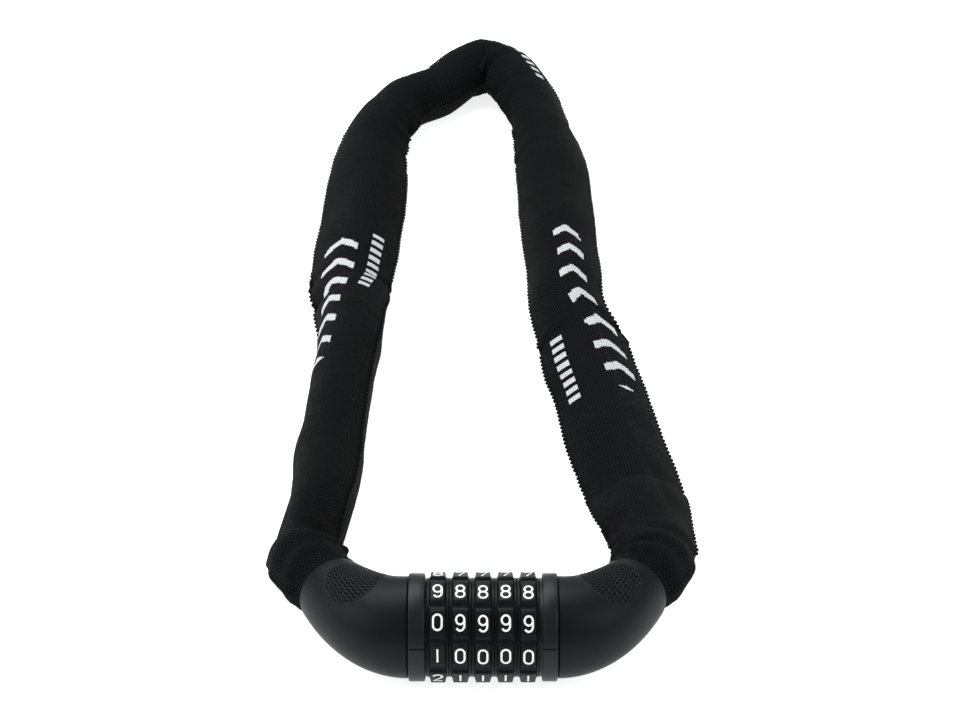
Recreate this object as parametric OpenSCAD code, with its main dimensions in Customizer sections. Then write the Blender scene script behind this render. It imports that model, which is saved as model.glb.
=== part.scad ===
// Combination chain lock: two curved grips with a stack of number dials between them,
// and a steel chain in a woven sleeve that joins the grips in a loop.
// Millimetres. X runs along the dials' axle, Y from the dials towards the loop, Z up.
// The lock lies on Z = 0, with the middle of its rigid body over the origin.

/* [Dials] */
// Number of dials on the axle
dial_count = 5; // [4:1:6]
// Distance from one dial to the next
dial_pitch = 5.6; // [5.2:0.1:6.4]
// Diameter over the digit pads
dial_d = 27.5; // [26:0.5:30]
// Width of a digit pad
pad_w = 3.9; // [3:0.1:4.5]
// Digits around each dial
digits = 10; // [10:1:10]
// How far above the front the digits are read, in degrees
read_angle = 45; // [30:1:60]

/* [Lock mechanism] */
// Outer diameter of the slotted tube that the dials turn on
tube_d = 12; // [11:0.5:13]
// Diameter of the bolt's rod
rod_d = 7.8; // [7:0.1:8]

/* [Grips] */
// Diameter of the hard collars beside the dials
collar_d = 27; // [26:0.5:28]
// Diameter of a grip where it meets its collar
grip_d = 25.5; // [24:0.5:27]
// Outer diameter of the mouth that the chain leaves from
mouth_d = 18; // [17.5:0.1:19]

/* [Chain and sleeve] */
// Diameter of the chain's wire
wire_d = 3.5; // [3:0.1:3.6]
// Outer width of a link
link_w = 12; // [11.5:0.1:12]
// Inner length of a link
link_inner = 20; // [18:0.5:22]
// Thickness of the woven sleeve
sleeve_wall = 0.8; // [0.6:0.1:0.8]

/* [Hidden] */
$fn = 64;
TIGHT = 0.05;                         // radial clearance of a running or press fit
LOOSE = 0.3;                          // clearance between pieces that only lie side by side
axle = [0, -3.35, dial_d / 2];        // middle of the dials' axle
stack_x = dial_count * dial_pitch / 2;
dial_w = dial_pitch - 0.1;
barrel_face = stack_x + 0.4;          // inner face of the barrel's collar, from the middle
bolt_face = stack_x + 0.7;            // inner face of the bolt's collar
grip_x = stack_x + 4.6;               // where collars end and grips begin
neck_r = dial_d / 2 - 1.4;            // the shoulders between two dials' pads
ring_r = 9.5;                         // code ring, outside
lug_r = 7.5;                          // bolt lugs, tip
lug_w = 3;
lug_t = 1.8;
pocket_t = 2.2;                       // depth of a code ring's pocket, where a lug waits
block_r = 8;
block_end = grip_x + 4.2;             // end of an end block's round part
screw_x = grip_x + 0.7;               // set screw, from the middle
pin_x = grip_x + 8.7;                 // chain pin, from the middle
pin_r = 2;
fork_gap = wire_d + 0.9;
fork_x = pin_x - link_w / 2 - LOOSE;  // where the gap for the first link starts
tube_tail = fork_x - 0.2;             // how far the tube and the bolt reach into their blocks
tube_nose = stack_x + 2.4;
mouth_bore = mouth_d / 2 - 1.4;
mouth = [grip_x + 20.7, 15.5];        // mouth's centre, from the middle of the axle
knee = [grip_x + 10.6, 0];            // where the grip's end tangents cross
mouth_dir = unit([mouth.x - knee.x, mouth.y - knee.y, 0]);
GRIP_SIDES = 24;
GRIP_RINGS = 12;
SLEEVE_SIDES = 12;
tuck_depth = 3;                       // how far the sleeve's end reaches into the mouth
link_gap = 0.6;                       // play between two hooked links
link_step = link_inner - link_gap;

// The sleeve's route from each mouth to the far end of the loop, as
// [x, y, height of the middle, turn of the flat section in degrees, half width, half thickness].
// Where the middle is given as 0, the sleeve lies on the surface.
LEFT_ROUTE = [
    [-43.8, 18, 14, 90, 10.5, 8.5], [-46.5, 25, 13.2, 90, 12, 10], [-45.6, 33, 0, 90, 12.7, 9.3],
    [-43.8, 43, 0, 90, 12.7, 8.8], [-42.6, 52, 0, 90, 12.7, 8.8], [-42, 68, 0, 90, 12.5, 9],
    [-41, 84, 0, 90, 12.5, 9], [-40, 100, 0, 90, 12.5, 9], [-39, 116, 0, 80, 12.5, 9],
    [-38.2, 132, 0, 60, 12.5, 9], [-39.2, 147, 0, 25, 12.5, 9], [-39.8, 156, 0, 0, 12.8, 8.5],
    [-39, 170, 0, 0, 13, 8.5], [-38, 186, 0, 0, 13, 8.5], [-37, 202, 0, 0, 13, 8.5],
    [-36.5, 216, 0, 0, 12.6, 8.5], [-36.2, 230, 0, 0, 12, 8.8], [-34.5, 244, 0, 0, 11.2, 9],
    [-30.8, 256.5, 0, 0, 10.6, 9], [-25.5, 268, 0, 0, 10.2, 9], [-15, 276.5, 0, 0, 10, 9],
    [-7, 288, 0, 0, 10, 9], [0, 293.5, 0, 0, 10, 9]];
RIGHT_ROUTE = [
    [43.4, 18, 14, 0, 10.5, 9], [44.4, 27, 13.5, 0, 11.5, 9], [43.3, 37, 12, 0, 12.7, 8.5],
    [41.6, 52, 9.5, 0, 13.3, 8], [39.2, 68, 0, 0, 13.6, 8], [36.2, 84, 0, 0, 13.6, 8],
    [33.7, 100, 0, 0, 13.4, 8], [31, 116, 0, 0, 13.5, 8], [29, 130, 0, 0, 13.2, 8.4],
    [26, 139.5, 0, 30, 12.5, 9], [24.7, 149, 0, 45, 12.5, 9], [24.3, 165, 0, 45, 12.5, 9],
    [23.6, 181, 0, 40, 12.5, 9], [23.3, 197, 0, 40, 12.5, 9], [22.5, 213, 0, 40, 12.5, 9],
    [21.9, 229, 0, 35, 12.3, 9], [20.2, 244, 0, 20, 11.2, 9], [18, 257, 0, 0, 10.4, 9],
    [15.8, 268, 0, 0, 10, 9], [12, 279, 0, 0, 10, 9], [8, 289, 0, 0, 10, 9], [0, 293.5, 0, 0, 10, 9]];

DIAL_NAMES = [for (i = [1:dial_count]) str("dial_", i)];
CODE_RING_NAMES = [for (i = [1:dial_count]) str("code_ring_", i)];

BLACK = [0.07, 0.08, 0.09];
PLASTIC = [0.12, 0.14, 0.16];
STEEL = [0.62, 0.64, 0.66];
ZINC = [0.5, 0.51, 0.53];
FABRIC = [0.05, 0.05, 0.055];

// ---- helpers ----

function unit(v) = v / norm(v);
function flat(lists) = [for (l = lists) for (p = l) p];

// One closed ring of points around c, across the direction dir. side_r and up_r are its
// half width and half thickness, turned by roll about dir.
function ring(c, dir, side_r, up_r, roll, sides) =
    let (side = unit(cross(dir, [0, 0, 1])), up = cross(side, dir))
    [for (i = [0:sides - 1])
        let (a = (i + 0.5) * 360 / sides, w = side_r * cos(a), h = up_r * sin(a))
        c + side * (w * cos(roll) - h * sin(roll)) + up * (w * sin(roll) + h * cos(roll))];

// The faces between rings, first + k * n being the first point of ring k.
function skin(count, n, first = 0) =
    [for (k = [0:count - 2]) for (i = [0:n - 1])
        let (a = first + k * n + i, b = first + k * n + (i + 1) % n)
        for (f = [[a, b, b + n], [a, b + n, a + n]]) f];

// The flat ring that closes a hollow tube between an outer ring and an inner ring.
function rim(outer, inner, n) =
    [for (i = [0:n - 1])
        let (j = (i + 1) % n)
        for (f = [[outer + i, inner + i, inner + j], [outer + i, inner + j, outer + j]]) f];

function reversed(faces) = [for (f = faces) [f[2], f[1], f[0]]];

// A hollow tube from two lists of rings, with its walls open at both ends.
module hollow_sweep(outer, inner) {
    n = len(outer[0]);
    start = len(outer) * n;
    polyhedron(
        points = concat(flat(outer), flat(inner)),
        faces = concat(
            reversed(skin(len(outer), n)), skin(len(inner), n, start),
            reversed(rim(0, start, n)),
            rim((len(outer) - 1) * n, start + (len(inner) - 1) * n, n)),
        convexity = 8);
}

// Stands children along +X on the axle, starting x from the middle.
module on_axle(x) {
    translate(axle + [x, 0, 0]) rotate([0, 90, 0]) children();
}

// A washer or sleeve on the axle, from x0 to x1.
module washer(x0, x1, r_out, r_in) {
    on_axle(x0) difference() {
        cylinder(r = r_out, h = x1 - x0);
        translate([0, 0, -1]) cylinder(r = r_in, h = x1 - x0 + 2);
    }
}

// Puts a barrel piece, made as if on the bolt's side, on the barrel's side.
module barrel_side() { mirror([1, 0, 0]) children(); }

// ---- dials and code rings ----

function dial_x(i) = -stack_x + (i - 1) * dial_pitch + 0.05;

// The gate that a lug passes through, standing up from the axle between x0 and x1.
module gate(x0, x1, w, r) {
    translate(axle + [x0, -w / 2, 0]) cube([x1 - x0, w, r]);
}

module dial(i) {
    notch_r = 1.3;
    color(BLACK) difference() {
        on_axle(dial_x(i)) rotate_extrude() polygon([
            [ring_r + TIGHT, 0], [neck_r, 0], [neck_r, 0.3],
            [dial_d / 2 - 0.25, (dial_w - pad_w) / 2], [dial_d / 2, (dial_w - pad_w) / 2 + 0.25],
            [dial_d / 2, (dial_w + pad_w) / 2 - 0.25], [dial_d / 2 - 0.25, (dial_w + pad_w) / 2],
            [neck_r, dial_w - 0.3], [neck_r, dial_w], [ring_r + TIGHT, dial_w]]);
        for (k = [0:digits - 1])
            on_axle(dial_x(i) - 1)
                rotate([0, 0, (k + 0.5) * 360 / digits - 90 - read_angle])
                    translate([dial_d / 2 + 0.45, 0, 0]) cylinder(r = notch_r, h = dial_w + 2);
        key(i, 1.7, 1.1);
    }
}

// The key that turns a code ring with its dial, below the axle.
module key(i, w, h) {
    translate(axle + [dial_x(i) - 0.01, -w / 2, -ring_r - h]) cube([dial_w + 0.02, w, h + 0.6]);
}

module code_ring(i) {
    x = dial_x(i);
    color(ZINC) difference() {
        union() {
            washer(x + 0.05, x + dial_w - 0.05, ring_r, tube_d / 2 + TIGHT);
            intersection() {
                key(i, 1.5, 1);
                washer(x + 0.05, x + dial_w - 0.05, ring_r + 1, ring_r - 0.5);
            }
        }
        washer(x - 1, x + pocket_t, lug_r + 0.3, 1);
        gate(x - 1, x + dial_w + 1, lug_w + 0.3, lug_r + 0.3);
    }
}

// ---- barrel side ----

module barrel_tube() {
    color(STEEL) difference() {
        washer(-tube_tail, tube_nose, tube_d / 2, rod_d / 2 + 0.1);
        gate(-stack_x - 0.4, tube_nose + 1, lug_w + 0.2, tube_d);
        washer(stack_x + 0.95, stack_x + 1.85, tube_d, tube_d / 2 - 0.5);
        on_axle_up(-screw_x) cylinder(r = 1.2, h = tube_d);
    }
}

// Stands children straight up from the axle at x.
module on_axle_up(x) { translate(axle + [x, 0, 0]) children(); }

module thrust_washer() {
    color(STEEL) washer(-stack_x - 0.35, -stack_x - 0.05, 10.5, tube_d / 2 + TIGHT);
}

// Presses the stack together; it lies flat between the last dial and the stack washer.
module spring_washer() {
    color(STEEL) difference() {
        washer(stack_x + 0.05, stack_x + 0.25, 9, tube_d / 2 + 0.1);
        gate(stack_x, stack_x + 0.27, lug_w + 0.3, lug_r + 0.3);
    }
}

module stack_washer() {
    color(STEEL) difference() {
        washer(stack_x + 0.3, stack_x + 0.9, 7.7, tube_d / 2 + TIGHT);
        gate(stack_x, stack_x + 2, lug_w + 0.3, 10);
    }
}

module retaining_ring() {
    color(STEEL) difference() {
        washer(stack_x + 1, stack_x + 1.8, 7.4, tube_d / 2 - 0.45);
        gate(stack_x, stack_x + 3, lug_w + 1, 10);
    }
}

// ---- pieces that both sides have ----

// A hard ring from x0 to the grip, with an index line across it below the read digits. A rib
// on its face reaches to the dials and hides the washers.
module collar(x0) {
    index_angle = 28;
    rib_face = stack_x + 0.12;
    color(PLASTIC) difference() {
        union() {
            washer(x0, grip_x, collar_d / 2, block_r + TIGHT);
            washer(rib_face, x0 + 0.1, neck_r - 0.15, 10.7);
        }
        on_axle(x0 - 1) rotate([0, 0, -90 - read_angle + index_angle])
            translate([collar_d / 2 - 0.3, -0.3, 0]) cube([1, 0.6, grip_x]);
    }
}

function grip_point(t) =
    [(1 - t) ^ 2 * grip_x + 2 * t * (1 - t) * knee.x + t ^ 2 * mouth.x,
     (1 - t) ^ 2 * 0 + 2 * t * (1 - t) * knee.y + t ^ 2 * mouth.y, 0];
function grip_dir(t) =
    unit((1 - t) * ([knee.x, knee.y, 0] - [grip_x, 0, 0])
        + t * ([mouth.x, mouth.y, 0] - [knee.x, knee.y, 0]));
function grip_r(t) = grip_d / 2 + (mouth_d - grip_d) / 2 * t ^ 1.8;
function grip_ring(t, r) = ring(axle + grip_point(t), grip_dir(t), r, r, 0, GRIP_SIDES);

// The curved shell of a grip, open at its mouth and round the end block at its collar.
module grip() {
    wall = 1.6;
    inner_wall_t = 0.08;
    outer = [for (k = [0:GRIP_RINGS]) grip_ring(k / GRIP_RINGS, grip_r(k / GRIP_RINGS))];
    cavity = [for (k = [0:GRIP_RINGS])
        let (t = inner_wall_t + (1 - inner_wall_t) * k / GRIP_RINGS)
        grip_ring(t, k == GRIP_RINGS ? mouth_bore : grip_r(t) - wall)];
    hole = [for (t = [0, inner_wall_t - 0.01]) grip_ring(t, block_r + 0.4)];
    color(PLASTIC) hollow_sweep(outer, concat(hole, cavity));
}

// A cast block that fills the collar and carries the chain pin in a fork behind it.
module end_block(x0, bore_r, bore_end) {
    fork = [block_end - 0.5, -3.5, -6];
    color(ZINC) difference() {
        union() {
            on_axle(x0) cylinder(r = block_r, h = block_end - x0);
            translate(axle + fork) cube([pin_x + 3 - fork.x, 7, 12]);
        }
        on_axle(x0 - 1) cylinder(r = bore_r, h = bore_end - x0 + 1);
        translate(axle + [fork_x, -10, -fork_gap / 2]) cube([20, 20, fork_gap]);
        on_axle_up(pin_x) translate([0, 0, -10]) cylinder(r = pin_r + TIGHT, h = 20);
        on_axle_up(screw_x) cylinder(r = 1.5, h = block_r + 1);
    }
}

module chain_pin() {
    color(STEEL) on_axle_up(pin_x) translate([0, 0, -6]) cylinder(r = pin_r, h = 12);
}

module set_screw(tip) {
    color(STEEL) on_axle_up(screw_x) difference() {
        translate([0, 0, tip]) cylinder(r = 1.45, h = block_r - 0.3 - tip);
        translate([0, 0, block_r - 1.5]) cylinder(r = 0.75, h = 2, $fn = 6);
    }
}

// The band that holds the sleeve's end in the mouth.
module ferrule() {
    length = 2.6;
    color(STEEL)
    translate(axle + [mouth.x, mouth.y, 0] - mouth_dir * tuck_depth)
        rotate([0, 90, atan2(mouth_dir.y, mouth_dir.x)]) difference() {
            cylinder(r = mouth_bore - TIGHT, h = length);
            translate([0, 0, -1]) cylinder(r = mouth_bore - 0.45, h = length + 2);
        }
}

// ---- bolt ----

module bolt() {
    color(STEEL) difference() {
        union() {
            on_axle(-stack_x + 0.4) cylinder(r = rod_d / 2, h = tube_tail + stack_x - 0.4);
            for (i = [1:dial_count])
                gate(dial_x(i) + 0.2, dial_x(i) + 0.2 + lug_t, lug_w, lug_r);
        }
        on_axle_up(screw_x) translate([0, 0, rod_d / 2 - 0.6]) cylinder(r = 1.6, h = 5);
    }
}

// ---- chain ----

// The mouth's middle and a point inside it, where the sleeve's end is held.
function mouth_point(sign, back) =
    let (p = axle + [mouth.x, mouth.y, 0] - mouth_dir * back) [sign * p.x, p.y, p.z];

// How far a turned section of half width w and half thickness h reaches below its middle.
function reach(roll, w, h) =
    max([for (i = [0:SLEEVE_SIDES - 1])
        let (a = (i + 0.5) * 360 / SLEEVE_SIDES)
        w * cos(a) * sin(roll) + h * sin(a) * cos(roll)]);

// Rows of [middle, roll, half width, half thickness], from inside the mouth to the loop's end.
function sleeve_rows(sign, route) =
    let (tuck = mouth_bore - 0.5)
    concat(
        [for (back = [tuck_depth, 0.2]) [mouth_point(sign, back), route[0][3], tuck, tuck]],
        [for (p = route)
            [[p[0], p[1], max(p[2], reach(p[3], p[4], p[5]))], p[3], p[4], p[5]]]);

// A point s along the polyline through pts.
function walk(pts, s, k = 0) =
    let (d = norm(pts[k + 1] - pts[k]))
    s <= d || k + 2 >= len(pts) ? pts[k] + (pts[k + 1] - pts[k]) * s / d : walk(pts, s - d, k + 1);

function path_length(pts) =
    let (steps = [for (k = [1:len(pts) - 1]) norm(pts[k] - pts[k - 1])]) steps * [for (s = steps) 1];

// The next place along pts that is one link_step in a straight line from the place s.
function next_joint(pts, s, guess, tries = 6) =
    tries == 0 ? guess
    : next_joint(pts, s, guess + link_step - norm(walk(pts, guess) - walk(pts, s)), tries - 1);

// Where each link hooks into the next, as distances along pts.
function joints(pts, s, end) =
    s > end ? [] : concat([s], joints(pts, next_joint(pts, s, s + link_step), end));

// One welded link from a to b, flat or on edge.
module link(a, b, upright) {
    arm = (link_w - wire_d) / 2;
    straight = link_inner / 2 - (link_w / 2 - wire_d);
    dir = unit(b - a);
    translate((a + b) / 2)
        rotate([0, -asin(dir.z), atan2(dir.y, dir.x)]) rotate([upright ? 90 : 0, 0, 0])
            for (k = [0, 180]) rotate([0, 0, k]) {
                translate([-straight, arm, 0]) rotate([0, 90, 0])
                    cylinder(r = wire_d / 2, h = 2 * straight);
                translate([straight, 0, 0]) rotate([0, 0, -90])
                    rotate_extrude(angle = 180) translate([arm, 0]) circle(r = wire_d / 2);
            }
}

module chain(sign, route) {
    pin = [sign * pin_x, axle.y, axle.z];
    rows = sleeve_rows(sign, route);
    way = concat([pin], [for (r = rows) r[0]]);
    first = way[0] - unit(way[1] - way[0]) * pin_r;
    pts = concat([first], [for (k = [1:len(way) - 1]) way[k]]);
    hooks = joints(pts, 0, path_length(pts) - link_step * 0.25);
    color(STEEL) for (k = [1:len(hooks) - 1])
        link(walk(pts, hooks[k - 1]), walk(pts, hooks[k]), k % 2 == 0);
}

// ---- sleeve ----

// The direction of the sleeve at row k; both halves end square to X, so that they part along X.
function heading(rows, k, sign) =
    k == len(rows) - 1 ? [-sign, 0, 0]
    : k <= 1 ? [sign * mouth_dir.x, mouth_dir.y, 0]
    : let (d = rows[k + 1][0] - rows[k - 1][0]) unit([d.x, d.y, 0]);

module sleeve(sign, route) {
    rows = sleeve_rows(sign, route);
    shells = [for (wall = [0, sleeve_wall])
        [for (k = [0:len(rows) - 1])
            ring(rows[k][0], heading(rows, k, sign), rows[k][2] - wall, rows[k][3] - wall,
                rows[k][1], SLEEVE_SIDES)]];
    color(FABRIC) hollow_sweep(shells[0], shells[1]);
}

// ---- nodes ----

barrel_side() grip();  // barrel_grip
barrel_side() collar(barrel_face);  // barrel_collar
barrel_tube();
barrel_side() end_block(barrel_face, tube_d / 2 + TIGHT, tube_tail);  // barrel_end_block
barrel_side() set_screw(tube_d / 2 + TIGHT);  // barrel_set_screw
barrel_side() chain_pin();  // barrel_chain_pin
barrel_side() ferrule();  // barrel_ferrule
thrust_washer();
spring_washer();
stack_washer();
retaining_ring();
chain(-1, LEFT_ROUTE);  // chain_left
sleeve(-1, LEFT_ROUTE);  // sleeve_left
grip();  // bolt_grip
collar(bolt_face);  // bolt_collar
bolt();
end_block(tube_nose + 0.3, rod_d / 2 + TIGHT, tube_tail);  // bolt_end_block
set_screw(rod_d / 2 - 0.55);  // bolt_set_screw
chain_pin();  // bolt_chain_pin
ferrule();  // bolt_ferrule
chain(1, RIGHT_ROUTE);  // chain_right
sleeve(1, RIGHT_ROUTE);  // sleeve_right
for (i = [1:dial_count]) {
    dial(i);
    code_ring(i);
}
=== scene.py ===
"""A combination chain lock: five dials between two curved grips, on a chain in a woven sleeve."""

import math

import bmesh
import bpy
import numpy as np
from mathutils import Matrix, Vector, noise


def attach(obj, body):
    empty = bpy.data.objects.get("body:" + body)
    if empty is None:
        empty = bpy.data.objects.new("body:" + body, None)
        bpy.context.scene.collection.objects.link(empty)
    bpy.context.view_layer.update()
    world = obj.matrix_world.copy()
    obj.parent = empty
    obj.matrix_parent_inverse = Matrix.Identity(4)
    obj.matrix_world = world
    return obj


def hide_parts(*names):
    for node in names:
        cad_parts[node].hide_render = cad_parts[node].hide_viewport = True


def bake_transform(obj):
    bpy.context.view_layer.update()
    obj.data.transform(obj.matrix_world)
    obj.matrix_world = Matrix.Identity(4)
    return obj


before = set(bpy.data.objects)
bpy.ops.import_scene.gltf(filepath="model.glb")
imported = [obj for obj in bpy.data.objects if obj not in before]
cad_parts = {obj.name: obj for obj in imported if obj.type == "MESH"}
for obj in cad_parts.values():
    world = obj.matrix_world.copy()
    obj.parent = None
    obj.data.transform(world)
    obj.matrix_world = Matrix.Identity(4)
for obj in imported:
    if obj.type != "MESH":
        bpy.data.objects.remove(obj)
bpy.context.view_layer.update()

MM = 0.001


# ---- Camera, table and lights ----
# The lock lies on a pale table under three large soft lights, its dials towards the camera,
# which looks down on it at about 35 degrees from 0.7 m away.

def link_to_scene(name, data):
    made = bpy.data.objects.new(name, data)
    bpy.context.scene.collection.objects.link(made)
    return made


class Wire:
    """An output of a node tree, which Python's arithmetic builds Math nodes on."""

    def __init__(self, tree, socket):
        self.tree, self.socket = tree, socket

    def maths(self, operation, *values, first=None):
        node = self.tree.nodes.new("ShaderNodeMath")
        node.operation = operation
        for place, value in enumerate((self if first is None else first, *values)):
            plug(self.tree, node.inputs[place], value)
        return Wire(self.tree, node.outputs[0])

    def __add__(self, other): return self.maths("ADD", other)
    def __mul__(self, other): return self.maths("MULTIPLY", other)
    def __sub__(self, other): return self.maths("SUBTRACT", other)
    def __truediv__(self, other): return self.maths("DIVIDE", other)
    def __rsub__(self, other): return self.maths("SUBTRACT", self, first=other)
    def __lt__(self, other): return self.maths("LESS_THAN", other)
    def __gt__(self, other): return self.maths("GREATER_THAN", other)
    def __abs__(self): return self.maths("ABSOLUTE")


def plug(tree, socket, value):
    """Links a wire to a socket, or sets the socket to a plain value."""
    if isinstance(value, Wire):
        tree.links.new(value.socket, socket)
    elif value is not None:
        socket.default_value = value


class Tree:
    """A node tree whose nodes are made in one call each."""

    def __init__(self, tree):
        self.tree = tree

    def node(self, kind, sockets=None, out=0, **settings):
        node = self.tree.nodes.new(kind)
        for name, value in settings.items():
            setattr(node, name, value)
        for name, value in (sockets or {}).items():
            plug(self.tree, node.inputs[name], value)
        return Wire(self.tree, node.outputs[out])

    def mix(self, factor, a, b):
        """Two colours or wires of colour, mixed."""
        node = self.tree.nodes.new("ShaderNodeMix")
        node.data_type = "RGBA"
        colour = [s for s in node.inputs if s.type == "RGBA"]
        plug(self.tree, node.inputs[0], factor)
        plug(self.tree, colour[0], (*a, 1) if isinstance(a, tuple) else a)
        plug(self.tree, colour[1], (*b, 1) if isinstance(b, tuple) else b)
        return Wire(self.tree, [s for s in node.outputs if s.type == "RGBA"][0])


class Finish(Tree):
    """A material: its Principled shader's sockets are set by name."""

    def __init__(self, name, **constants):
        self.material = bpy.data.materials.new(name)
        self.material.use_nodes = True
        super().__init__(self.material.node_tree)
        self.shader = self.tree.nodes["Principled BSDF"]
        self.set({key.replace("_", " ").title().replace("Ior", "IOR"): value
                  for key, value in constants.items()})

    def set(self, sockets):
        for name, value in sockets.items():
            colour = (*value, 1) if isinstance(value, tuple) else value
            plug(self.tree, self.shader.inputs[name], colour)

    def place(self):
        """Where on the piece, in metres."""
        return self.node("ShaderNodeTexCoord", out="Object")

    def cloud(self, place, scale, detail=3.0, rough=0.55):
        return self.node("ShaderNodeTexNoise",
                         {"Vector": place, "Scale": scale, "Detail": detail, "Roughness": rough})

    def stretched(self, scale):
        """The place with each axis scaled on its own, for grain that runs one way."""
        return self.node("ShaderNodeMapping", {"Vector": self.place(), "Scale": scale})

    def bump(self, height, distance, strength=1.0):
        return self.node("ShaderNodeBump",
                         {"Height": height, "Distance": distance, "Strength": strength})


def softbox(name, place, aim, width, height, power):
    light = bpy.data.lights.new(name, "AREA")
    light.shape = "RECTANGLE"
    light.size, light.size_y, light.energy = width, height, power
    lamp = link_to_scene(name, light)
    lamp.location = place
    lamp.rotation_euler = (Vector(aim) - Vector(place)).to_track_quat("-Z", "Y").to_euler()


camera = link_to_scene("camera", bpy.data.cameras.new("camera"))
camera.location = (-0.00075, -0.5124, 0.4560)
camera_pitch = math.radians(54.7)      # 0 would look straight down
camera.rotation_euler = (camera_pitch, 0, 0)
camera.data.lens = 100.65
camera.data.sensor_width = 36
bpy.context.scene.camera = camera

LOOP_MIDDLE = (0, 0.13, 0)
softbox("light_over", (-0.25, 0.55, 0.95), LOOP_MIDDLE, 1.1, 0.8, 14)
softbox("light_left", (-1.0, -0.15, 0.6), LOOP_MIDDLE, 0.7, 0.7, 5)
softbox("light_right", (0.9, -0.3, 0.7), LOOP_MIDDLE, 0.7, 0.7, 4)
world = bpy.data.worlds.new("studio")
world.use_nodes = True
world.node_tree.nodes["Background"].inputs["Color"].default_value = (0.92, 0.95, 1, 1)
world.node_tree.nodes["Background"].inputs["Strength"].default_value = 0.55
bpy.context.scene.world = world
bpy.context.scene.view_settings.view_transform = "Standard"

TABLE_REACH, TABLE_TOP = 3, -0.0002
table_mesh = bpy.data.meshes.new("table")
table_mesh.from_pydata(
    [(x * TABLE_REACH, y * TABLE_REACH, TABLE_TOP)
     for x, y in ((-1, -1), (1, -1), (1, 1), (-1, 1))],
    [], [(0, 1, 2, 3)])
table = link_to_scene("table", table_mesh)
table_finish = Finish("pale_table", base_color=(0.70, 0.70, 0.70), roughness=0.6,
                      emission_color=(1, 1, 1), emission_strength=0.8)
table_mesh.materials.append(table_finish.material)


# ---- Woven sleeve ----
# A flat tube of black nylon webbing over the chain, about 0.6 m long. Its two folded edges are
# toothed by the weft's turns. The ends are gathered into the grips' mouths under a ferrule, and
# the cloth puckers on the inside of each bend.

def unit(v):
    return v / np.linalg.norm(v, axis=-1, keepdims=True)


AXLE = np.array([0, -0.00335, 0.01375])
GRIP_START = 0.0186
MOUTH = np.array([0.0393, 0.0155, 0])
KNEE = np.array([0.0292, 0, 0])
MOUTH_DIR = unit(MOUTH - KNEE)
MIRROR = np.array([-1, 1, 1])
tuck_depth = 0.003
tuck_radius = 0.0071

# x, y and height of the sleeve's middle (0: it lies on the table), how far its inner folded edge
# is turned upwards in degrees, half width, half thickness, and how round it is.
LEFT_ROUTE = [
    (-0.0438, 0.018, 0.014, 5, 0.0102, 0.0098, 0.2),
    (-0.0465, 0.025, 0.0132, 10, 0.0095, 0.0100, 0.5),
    (-0.0456, 0.033, 0, 18, 0.0074, 0.0104, 0.9), (-0.0438, 0.043, 0, 24, 0.0076, 0.0114, 1),
    (-0.0426, 0.052, 0, 26, 0.0084, 0.0114, 1), (-0.0420, 0.068, 0, 28, 0.0091, 0.0110, 1),
    (-0.0410, 0.084, 0, 28, 0.0088, 0.0112, 1), (-0.0400, 0.100, 0, 28, 0.0085, 0.0112, 1),
    (-0.0390, 0.116, 0, 28, 0.0089, 0.0110, 1), (-0.0382, 0.132, 0, 24, 0.0092, 0.0106, 1),
    (-0.0392, 0.147, 0, 10, 0.0112, 0.0092, 0.4), (-0.0398, 0.156, 0, 0, 0.0124, 0.0084, 0),
    (-0.0390, 0.170, 0, 0, 0.0125, 0.0080, 0), (-0.0380, 0.186, 0, 0, 0.0128, 0.0078, 0),
    (-0.0370, 0.202, 0, 0, 0.0127, 0.0078, 0), (-0.0365, 0.216, 0, 0, 0.0123, 0.0080, 0),
    (-0.0362, 0.230, 0, 0, 0.0115, 0.0084, 0), (-0.0345, 0.244, 0, 0, 0.0110, 0.0088, 0.1),
    (-0.0308, 0.2565, 0, 0, 0.0104, 0.0088, 0.3), (-0.0255, 0.2680, 0, 0, 0.0090, 0.0084, 0.5),
    (-0.0150, 0.2765, 0, 0, 0.0084, 0.0080, 0.6), (-0.0070, 0.2880, 0, 0, 0.0094, 0.0084, 0.6),
    (0, 0.2935, 0, 0, 0.0104, 0.0088, 0.6)]
RIGHT_ROUTE = [
    (0.0434, 0.018, 0.014, 0, 0.0099, 0.0098, 0.3),
    (0.0444, 0.027, 0.0135, 0, 0.0107, 0.0094, 0.2),
    (0.0433, 0.037, 0.0120, 0, 0.0119, 0.0084, 0), (0.0416, 0.052, 0.0095, 0, 0.0132, 0.0078, 0),
    (0.0392, 0.068, 0, 0, 0.0136, 0.0076, 0), (0.0362, 0.084, 0, 0, 0.0136, 0.0076, 0),
    (0.0337, 0.100, 0, 0, 0.0133, 0.0076, 0), (0.0310, 0.116, 0, 0, 0.0134, 0.0076, 0),
    (0.0290, 0.130, 0, 0, 0.0131, 0.0078, 0), (0.0260, 0.1395, 0, -6, 0.0112, 0.0090, 0.2),
    (0.0247, 0.149, 0, -8, 0.0104, 0.0096, 0.4), (0.0243, 0.165, 0, -8, 0.0105, 0.0096, 0.4),
    (0.0236, 0.181, 0, -8, 0.0110, 0.0094, 0.3), (0.0233, 0.197, 0, -6, 0.0111, 0.0092, 0.3),
    (0.0225, 0.213, 0, -4, 0.0109, 0.0092, 0.3), (0.0219, 0.229, 0, -2, 0.0110, 0.0090, 0.2),
    (0.0202, 0.244, 0, 0, 0.0098, 0.0090, 0.3), (0.0180, 0.257, 0, 0, 0.0088, 0.0088, 0.5),
    (0.0158, 0.268, 0, 0, 0.0094, 0.0086, 0.6), (0.0120, 0.279, 0, 0, 0.0100, 0.0088, 0.6),
    (0.0080, 0.2890, 0, 0, 0.0100, 0.0086, 0.6)]


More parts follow.
